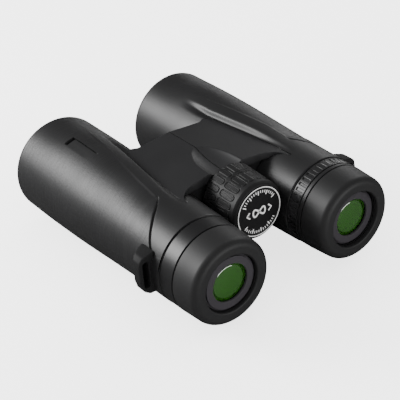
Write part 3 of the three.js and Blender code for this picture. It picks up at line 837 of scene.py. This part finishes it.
# %% [markdown]
# Eyepieces. Every ring is turned from its corners. The right eyepiece differs from the left one:
# it has a ribbed dioptre ring, a narrow spacer, and its ocular group sits a little deeper.

# %% Eyepiece rings
CUP_RADIUS = 22.2
RECESS = {side: (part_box(f"{side}_eyepiece_ring")[0].y - EYE_Y) / MM for side in ("left", "right")}
SIDES = (("left", -1, "left_half"), ("right", 1, "right_ocular_group"))

for side, mirror, ocular_body in SIDES:
    axis = (mirror * BARREL_X, 0.0)
    recess = RECESS[side]
    cup = [(14.4, 2.6, 0.2), (14.4, 0, 0.8), (21.2, 0, 3.7), (CUP_RADIUS, 14.7, 0.45), (20.5, 14.7, 0.1),
           (20.5, 2.6, 0.1)]
    turned(f"{side}_eyecup_skin", cup, CUP, f"{side}_eyecup", [f"{side}_eyecup_rubber"],
           axis, 192, 14)
    core = [(14.4, 2.9, 0.1), (20.2, 2.9, 0.1), (20.2, 14.4, 0.3), (18.95, 14.4, 0.3), (18.95, 4.4, 0.2),
            (14.4, 4.4, 0.2)]
    turned(f"{side}_eyecup_sleeve", core, CASING, f"{side}_eyecup", [f"{side}_eyecup_core"],
           axis)
    retainer = [(9.6, recess + 1.0, 0), (9.6, recess, 0.2), (13.2, recess, 0.2), (13.2, recess + 0.8, 0),
                (13.9, recess + 0.8, 0), (13.9, recess + 1.0, 0)]
    turned(f"{side}_retaining_ring", retainer, EYEPIECE, ocular_body, [f"{side}_eyepiece_ring"],
           axis)
    tube = [(12, recess + 1.3, 0.1), (13.9, recess + 1.3, 0.1), (13.9, 34, 0.2), (12, 34, 0.2)]
    turned(f"{side}_ocular_tube", tube, CELL, ocular_body, [f"{side}_ocular_cell"], axis, 96)
    housing = [(14.3, 17.5, 0.1), (17, 17.5, 0.3), (17, 5, 0.2), (18.6, 5, 0.3), (18.6, 24.1, 0.1),
               (18.1, 24.1, 0), (18.1, 32, 0.2), (14.3, 32, 0.1)]
    turned(f"{side}_guide_sleeve", housing, CASING, f"{side}_half", [f"{side}_ocular_housing"],
           axis, 120)

turned("left_gloss_ring", [(18.9, 15.2, 0), (22.2, 15.2, 0.35), (22.35, 24.0, 0.35), (18.9, 24.0, 0)],
       GLOSSY, "left_half", ["left_fixed_ring"], (-BARREL_X, 0), 192)
turned("right_plain_ring", [(18.9, 15.1, 0), (22.2, 15.1, 0.3), (22.2, 17.2, 0.3), (18.9, 17.2, 0)],
       CASING, "right_half", ["right_spacer_ring"], (BARREL_X, 0), 192)

# %% [markdown]
# The dioptre ring is cut by slots that run along it: in each group four thin lines and then four
# wide slots. A slot is a dip of the radius in the angle, ended before both edges of the ring.

# %% Dioptre ring
DIOPTRE_PITCHES = 48
PITCHES_PER_GROUP = 8


def dioptre_ribs(radius, y, angle):
    """Cuts the slots: phase runs 0 to 1 over one pitch, and the slot lies round phase 0. The
    first half of each group of pitches has thin slots and the other half wide ones."""
    turn = angle / (2 * math.pi) * DIOPTRE_PITCHES + 2.5
    phase = np.abs((turn + 0.5) % 1.0 - 0.5)
    thin = (np.round(turn) % PITCHES_PER_GROUP) < PITCHES_PER_GROUP / 2
    half = np.where(thin, 0.07, 0.21)
    slot = 1 - smoothstep(half, half + 0.05, phase)
    band = smoothstep(18.1, 18.5, y) * (1 - smoothstep(22.9, 23.3, y))
    return radius - np.where(radius > 21.5, np.where(thin, 0.35, 0.6) * slot * band, 0.0)


dioptre = [(18.95, 17.6, 0), (22.25, 17.6, 0.25), (22.25, 18.1, 0), (22.25, 18.3, 0), (22.25, 18.5, 0),
           (22.25, 22.9, 0), (22.25, 23.1, 0), (22.25, 23.3, 0), (22.25, 24.0, 0.25), (18.95, 24.0, 0)]
turned("right_dioptre_grip", dioptre, DIOPTRE, "dioptre_ring", ["right_dioptre_ring"],
       (BARREL_X, 0), 1152, 4, dioptre_ribs, 50)

# %% [markdown]
# Lenses. A lens is a spherical cap in front, a ground edge, and a flat back. The cap's sag is the
# curvature radius minus the root of its square less the distance from the axis squared. The eye
# lens sits half a millimetre behind the face of its ring, and reaches out under the ring.

# %% Lenses
def lens_profile(radius, front, curve, thickness, towards, roll=0.0, opening=None):
    """Closed profile of a domed lens: front is the station of the apex, and towards is -1 where
    the dome faces the eye and +1 where it faces the view. roll is how far the polished border, the
    outer sixth of the opening's radius, falls further: roll times the cube of the share of the
    border passed. The rest of the lens, under its ring, follows on."""
    r = radius * np.sqrt(np.linspace(0, 1, 48))
    border = np.clip((r / (opening or radius) - 0.84) / 0.16, 0, 1)
    sag = curve - np.sqrt(curve ** 2 - r ** 2) + roll * border ** 3
    dome = np.stack([r, front - towards * sag], 1)
    back = np.stack([r[::-1], np.full(len(r), front - towards * thickness)], 1)
    return np.concatenate([dome, back])


for side, mirror, ocular_body in SIDES:
    axis = (mirror * BARREL_X, 0.0)
    recess = RECESS[side]
    points, faces = revolve(lens_profile(11.4, recess + 0.5, 54.75, 4.5, -1, 0.5, 8.8), 128, axis)
    add_piece(f"{side}_eye_glass", points, faces, COATED, ocular_body, [f"{side}_eye_lens"],
              sharp=30)
    points, faces = revolve(lens_profile(21.0, 143.6, 92.0, 6.0, 1), 128, axis)
    add_piece(f"{side}_objective_glass", points, faces, COATED, f"{side}_half",
              [f"{side}_objective_crown_lens"], sharp=30)
    retainer = [(19.4, 142.2, 0), (21.2, 142.2, 0), (21.2, 145.4, 0.2), (19.8, 145.4, 0.2),
                (19.4, 144.6, 0.1)]
    turned(f"{side}_objective_retainer", retainer, CASING, f"{side}_half", [f"{side}_objective_ring"],
           axis)

# %% [markdown]
# The focus knob is turned, then patterned: two rows of long rounded pads, each outlined by a groove
# and crossed by fine cuts that leave ribs. A pad is the region inside a rounded rectangle on the
# unrolled cylinder, found from its signed distance. All the pattern is cut in, so the turned radius
# is the largest.

# %% Focus knob
HINGE_AXIS = (0.0, HINGE_Z)
KNOB_REAR, KNOB_FRONT = 26.0, 49.2
PAD_COUNT = 22
PAD_ROWS = ((30.4, 39.0), (40.9, 48.4))
RIB_PITCH = 0.8
KNOB_STEPS = 36 * PAD_COUNT


def rounded_box_distance(a, b, half_a, half_b, corner):
    """Signed distance to a rounded rectangle: outside distance of the shrunken box, less the
    corner radius."""
    qa, qb = np.abs(a) - half_a + corner, np.abs(b) - half_b + corner
    outside = np.hypot(np.maximum(qa, 0), np.maximum(qb, 0))
    return outside + np.minimum(np.maximum(qa, qb), 0) - corner


def knob_radius(y):
    """Grip radius without pads, straight between its corners: it opens quickly from the face and
    then widens slowly. A smooth curve through the same corners would bulge past the widest one."""
    return np.interp(y, (26.4, 27.0, 28.0, 36, 48.2, KNOB_FRONT), (13.75, 14.4, 15.0, 15.6, 16.2, 15.5))


def knob_points():
    """Outer skin with pads, and a plain inner wall behind it, closed both ways."""
    y = np.concatenate([np.linspace(26.4, 29.8, 18), np.linspace(30.0, 48.8, 96),
                        np.linspace(48.9, KNOB_FRONT, 4)])
    angle = np.linspace(0, 2 * math.pi, KNOB_STEPS, endpoint=False)[None, :]
    yy = np.repeat(y[:, None], angle.shape[1], 1)
    radius = knob_radius(yy)
    pitch = 2 * math.pi / PAD_COUNT
    arc = ((angle + pitch / 2) % pitch - pitch / 2) * radius
    for start, end in PAD_ROWS:
        middle, half = (start + end) / 2, (end - start) / 2
        gap = rounded_box_distance(arc, yy - middle, 1.3, half, 1.0)
        across = np.abs((yy - middle) % RIB_PITCH - RIB_PITCH / 2)
        rib = 1 - smoothstep(0.1, 0.3, across)
        groove = smoothstep(-0.1, 0.05, gap) * (1 - smoothstep(0.35, 0.5, gap))
        radius = radius - 0.34 * groove - 0.13 * rib * (1 - smoothstep(-0.6, -0.35, gap))
    inner = np.array([(14.4, KNOB_FRONT), (13.7, 40), (13.0, 28), (13.35, 26.6), (13.4, 26.35)])
    radius = np.vstack([radius, np.repeat(inner[:, :1], KNOB_STEPS, 1)])
    yy = np.vstack([yy, np.repeat(inner[:, 1:], KNOB_STEPS, 1)])
    x, z = radius * np.sin(angle), HINGE_Z + radius * np.cos(angle)
    return np.stack([x, yy, z], -1).reshape(-1, 3), grid_faces(*radius.shape, True, True)


points, faces = knob_points()
add_piece("knob_padded_grip", points, faces, KNOB, "focus_knob", ["knob_grip"], sharp=60)
turned("knob_hub", [(2.8, 34, 0), (2.8, 48.8, 0.2), (5, 48.8, 0.2), (5, 36, 0.3), (12, 36, 0.3),
                    (12, 48.8, 0.2), (14.2, 48.8, 0.2), (13.2, 30, 0), (12.6, 27.6, 0.1), (2.8, 27.6, 0)],
       CELL, "focus_knob", ["knob_core"], HINGE_AXIS, 120)
turned("knob_face_plate", [(0, 27.3, 0), (12.6, 27.3, 0), (13.35, 26.5, 0.2), (13.25, KNOB_REAR, 0.2),
                           (12.2, KNOB_REAR, 0.1), (12.05, KNOB_REAR + 0.12, 0.1), (0, KNOB_REAR + 0.12, 0)],
       PLATE, "focus_knob", ["knob_face"], HINGE_AXIS, 160)

# %% [markdown]
# The print on the knob's face is plain: a white ring, two arcs of scale ticks, and a focus mark of
# a figure-of-eight curve between two arrow heads. Each is a thin raised film.

# %% Knob print
FACE_Y = KNOB_REAR + 0.12
FILM = 0.05
TICK_STEP = 7.25
TICK_ARCS = ((-58, 59), (126, 235))


def film_ring(inner, outer, y):
    """Closed profile of a flat printed ring that stands a film's thickness proud."""
    return np.array([(inner, y), (inner, y - FILM), (outer, y - FILM), (outer, y)])


def film_strip(centre_line, half_width, y):
    """A ribbon of constant half width along a line in the face: its sides are the line moved
    both ways along the normal, and it is closed back and front."""
    line = np.asarray(centre_line, float)
    along = np.gradient(line, axis=0)
    along /= np.linalg.norm(along, axis=1)[:, None]
    normal = np.stack([-along[:, 1], along[:, 0]], 1)
    left, right = line + normal * half_width, line - normal * half_width
    corners = [(left, y), (right, y), (right, y - FILM), (left, y - FILM)]
    points = np.stack([np.stack([p[:, 0], np.full(len(p), d), HINGE_Z + p[:, 1]], 1) for p, d in corners], 1)
    count = len(line)
    faces = grid_faces(count, 4, False, True)
    caps = np.array([[0, 1, 2, 3], [4 * count - 4, 4 * count - 1, 4 * count - 2, 4 * count - 3]])
    return points.reshape(-1, 3), np.concatenate([faces, caps])


def gather(parts):
    """Several (points, faces) sets as one."""
    points, faces, start = [], [], 0
    for part_points, part_faces in parts:
        points.append(part_points)
        faces.append(part_faces + start)
        start += len(part_points)
    return np.concatenate(points), np.concatenate(faces)


def knob_marks():
    """Ticks on two arcs, the figure-of-eight and the arrow heads."""
    parts = []
    for k, degrees in enumerate(np.concatenate([np.arange(*arc, TICK_STEP) for arc in TICK_ARCS])):
        turn = math.radians(degrees)
        way = np.array([math.sin(turn), math.cos(turn)])
        inner = 9.0 if k % 4 == 0 else 9.9
        parts.append(film_strip([way * inner, way * 11.2], 0.28 if k % 4 == 0 else 0.2, FACE_Y))
    t = np.linspace(0, 2 * math.pi, 73)
    eight = np.stack([3.6 * np.sin(t), 1.9 * np.sin(2 * t)], 1)
    parts.append(film_strip(eight, 0.42, FACE_Y))
    for way in (-1, 1):
        parts.append(film_strip([(way * 5.6, 1.7), (way * 7.4, 0.0), (way * 5.6, -1.7)], 0.4, FACE_Y))
    return gather(parts)


points, faces = revolve(film_ring(12.4, 12.9, KNOB_REAR), 160, HINGE_AXIS)
add_piece("knob_white_ring", points, faces, PRINT, "focus_knob", [])
points, faces = knob_marks()
add_piece("knob_scale_marks", points, faces, PRINT, "focus_knob", [], sharp=30)

# %% [markdown]
# Strap lugs: a chamfered loop on the outboard side of each barrel. The outline and the slot are
# two loops with the same number of points, joined by quads and carried along the barrel. The
# outer loop is drawn in a little at both ends, which softens its edges.

# %% Strap lugs
LUG_OUT = 66.4
LUG_Y = (30.2, 39.4)


def resampled(corners, count):
    """A closed outline resampled to count points, evenly by length, starting at its first point."""
    ring = np.vstack([corners, corners[:1]])
    length = np.concatenate([[0], np.cumsum(np.linalg.norm(np.diff(ring, axis=0), axis=1))])
    at = np.linspace(0, length[-1], count, endpoint=False)
    return np.stack([np.interp(at, length, ring[:, k]) for k in (0, 1)], 1)


def lug_points(mirror):
    """Frames across the loop at several stations, each with an outer and an inner ring."""
    outer = filleted([(57.5, -9.8, 0), (61.6, -9.6, 2.4), (64.6, -7.4, 2.4), (LUG_OUT, -1.8, 3),
                      (LUG_OUT, 5.4, 3), (65.8, 8.8, 1.8), (63.8, 10.8, 1.8), (57.5, 12.0, 0)], 6)
    slot = filleted([(61.2, -5.8, 0.8), (64.3, -5.6, 1.2), (64.3, 8.0, 1.2), (61.2, 8.2, 0.8)], 6)
    count = 96
    outer, slot = resampled(outer, count), resampled(slot, count)
    shift = np.argmin(np.linalg.norm(slot - outer[0], axis=1))
    slot = np.roll(slot, -shift, 0)
    stations = [(LUG_Y[0], 0.4, 0), (LUG_Y[0] + 0.14, 0.14, 0), (LUG_Y[0] + 0.5, 0, 0), (34.6, 0, 0),
                (35.2, 0, 0.3), (36, 0, 1.5), (37, 0, 3.4), (38, 0, 5.4), (39.1, 0.2, 7.6),
                (LUG_Y[1], 0.4, 8.2)]
    rings = []
    middle = outer.mean(0)
    for y, inset, slope in stations:
        way = (middle - outer) / np.linalg.norm(middle - outer, axis=1)[:, None]
        ring = outer + way * inset
        ring[:, 0] = np.minimum(ring[:, 0], LUG_OUT - slope)
        rings.append(np.stack([mirror * ring[:, 0], np.full(count, y), ring[:, 1]], 1))
    for y, _, slope in reversed(stations):
        ring = slot.copy()
        ring[:, 0] = np.minimum(ring[:, 0], LUG_OUT - slope - 1.4)
        rings.append(np.stack([mirror * ring[:, 0], np.full(count, y), ring[:, 1]], 1))
    grid = np.stack(rings)
    return grid.reshape(-1, 3), grid_faces(grid.shape[0], count, True, True)


for side, mirror in (("left", -1), ("right", 1)):
    points, faces = lug_points(mirror)
    add_piece(f"{side}_strap_loop", points, faces, LUG, f"{side}_half", [f"{side}_strap_lug"],
              sharp=40)

# %% [markdown]
# Hinge and focus drive, seen from below between the webs: pins, washers, the screw and its
# shuttle, and the tripod bush with its cap in front.

# %% Hinge and drive
turned("hinge_sleeve", [(2.8, 50.2, 0.1), (4, 50.2, 0.2), (4, 62.2, 0.2), (2.8, 62.2, 0.1)], STEEL,
       "left_half", ["rear_hinge_sleeve"], HINGE_AXIS, 64)
turned("hinge_pin", [(0, 80.2, 0), (4, 80.2, 0.3), (4, 91.2, 0.3), (0, 91.2, 0)], STEEL, "left_half",
       ["front_hinge_pin"], HINGE_AXIS, 64)
for name, start in (("front_washer", 87.95), ("rear_washer", 55.9)):
    turned(f"{name}_disc", [(4.3, start, 0.1), (9.2, start, 0.15), (9.2, start + 0.6, 0.15),
                            (4.3, start + 0.6, 0.1)], STEEL, "left_half", [name],
           HINGE_AXIS, 96, 3)


THREAD_PITCH, THREAD_DEPTH = 0.8, 0.3


def thread(radius, y, angle):
    """A V thread: the depth is a triangle wave whose phase advances with the angle."""
    wave = np.abs(((y / THREAD_PITCH + angle / (2 * math.pi)) % 1.0) - 0.5) * 2
    return radius - np.where((radius > 2.4) & (y > 62.5) & (y < 78.2), THREAD_DEPTH * wave, 0)


screw = [(0, 34.4, 0), (2.5, 34.4, 0)] + [(2.5, y, 0) for y in np.arange(62.4, 78.4, 0.2)]
screw += [(2.5, 78.6, 0.2), (0, 78.6, 0)]
turned("lead_screw", screw, BRASS, "focus_knob", ["focus_screw"], HINGE_AXIS, 48, 4,
       thread, 60)
s = (centre_of("focus_shuttle").y - EYE_Y) / MM
turned("shuttle_spool", [(2.8, s - 3.5, 0.2), (7.5, s - 3.5, 0.4), (7.5, s - 1.6, 0.2), (4.8, s - 1.6, 0.2),
                         (4.8, s + 1.6, 0.2), (7.5, s + 1.6, 0.2), (7.5, s + 3.5, 0.4), (2.8, s + 3.5, 0.2)],
       BRASS, "focus_shuttle", ["focus_shuttle"], HINGE_AXIS, 96, 4)
turned("tripod_socket", [(3.2, 92.6, 0), (3.2, 101, 0.3), (8.5, 101, 0.1), (9, 100.4, 0.2), (9, 97.3, 0.2),
                         (4, 97.3, 0.1), (4, 91.6, 0.2), (0, 91.6, 0), (0, 92.6, 0)], BUSH, "left_half",
       ["tripod_bush"], HINGE_AXIS, 96, 4)
turned("tripod_plug", [(0, 94, 0), (2.8, 94, 0.4), (2.8, 101.3, 0), (5.4, 101.3, 0.2), (5.4, 103.8, 0.7),
                       (1.2, 103.8, 0.2), (0.9, 103.2, 0.2), (0, 103.2, 0)], CASING, "tripod_cap",
       ["tripod_cap"], HINGE_AXIS, 96, 4)

# %% [markdown]
# What stays inside keeps its CAD shape and only gets a finish.

# %% Finishes for the CAD nodes that stay
INSIDE = {"focus_cell": CELL, "focusing_lens": CLEAR, "prism_cage": CELL, "roof_prism": CLEAR,
          "half_penta_prism": CLEAR, "field_lens": CLEAR, "objective_flint_lens": CLEAR,
          "eyecup_key_ring": CELL}
for side in ("left", "right"):
    for part, material in INSIDE.items():
        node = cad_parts[f"{side}_{part}"]
        node.data.materials.clear()
        node.data.materials.append(material)
print("CAD nodes given a finish:", 2 * len(INSIDE))

# %% [markdown]
# The floor lies 0.2 mm under the barrels. It looks bright to the camera and dark in reflections,
# as the surround does, so that the black parts don't mirror a white floor.

# %% Floor
FLOOR_REACH, FLOOR_Z = 6.0, -0.0002
floor_mesh = bpy.data.meshes.new("floor")
floor_mesh.from_pydata([(a * FLOOR_REACH, b * FLOOR_REACH, FLOOR_Z)
                        for a, b in ((-1, -1), (1, -1), (1, 1), (-1, 1))], [], [(0, 1, 2, 3)])
floor = bpy.data.objects.new("floor", floor_mesh)
bpy.context.scene.collection.objects.link(floor)
floor_material = bpy.data.materials.new("pale_floor")
floor_material.use_nodes = True
floor_tree = floor_material.node_tree
floor_shader = floor_tree.nodes["Principled BSDF"]
floor_shader.inputs["Roughness"].default_value = 0.9
floor_path = floor_tree.nodes.new("ShaderNodeLightPath")
floor_tone = floor_tree.nodes.new("ShaderNodeMix")
floor_tone.data_type = "RGBA"
floor_tone.inputs["A"].default_value = (0.93, 0.93, 0.93, 1)
floor_tone.inputs["B"].default_value = (0.05, 0.05, 0.05, 1)
wire(floor_tree, floor_path.outputs["Is Glossy Ray"], floor_tone.inputs["Factor"])
wire(floor_tree, floor_tone.outputs["Result"], floor_shader.inputs["Base Color"])
floor_shader.inputs["Emission Color"].default_value = (1, 1, 1, 1)
wire(floor_tree, maths(floor_tree, "MULTIPLY", floor_path.outputs["Is Camera Ray"], 2.5),
     floor_shader.inputs["Emission Strength"])
floor_mesh.materials.append(floor_material)
